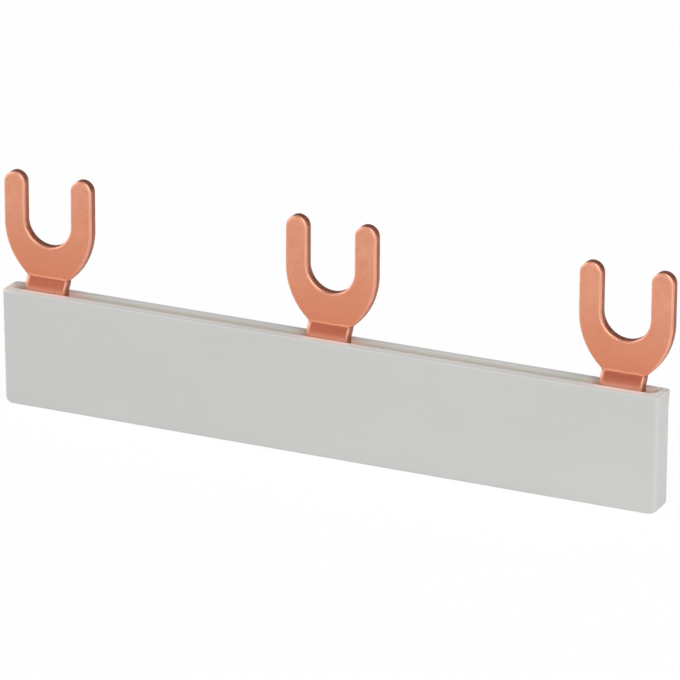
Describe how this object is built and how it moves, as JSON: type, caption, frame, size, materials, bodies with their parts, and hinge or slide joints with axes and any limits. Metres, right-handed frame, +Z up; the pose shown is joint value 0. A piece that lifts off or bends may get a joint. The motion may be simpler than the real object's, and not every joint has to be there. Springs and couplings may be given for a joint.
{
  "type": "comb busbar",
  "caption": "Single-phase comb busbar: a copper comb with upright open forks, lying in a long grey insulating trough with closed ends.",
  "frame": {"origin": "middle of the trough's underside", "axes": "+X along the bar, the face that the maker prints on looks towards -Y, +Z up through the open forks"},
  "size_m": [0.0822, 0.0036, 0.0274],
  "materials": {
    "copper": "bare rolled copper, punched edges",
    "grey_plastic": "light grey moulded plastic, fine satin"
  },
  "bodies": {
    "root": {"comb_bar": "copper", "insulating_case": "grey_plastic"}
  },
  "joints": []
}
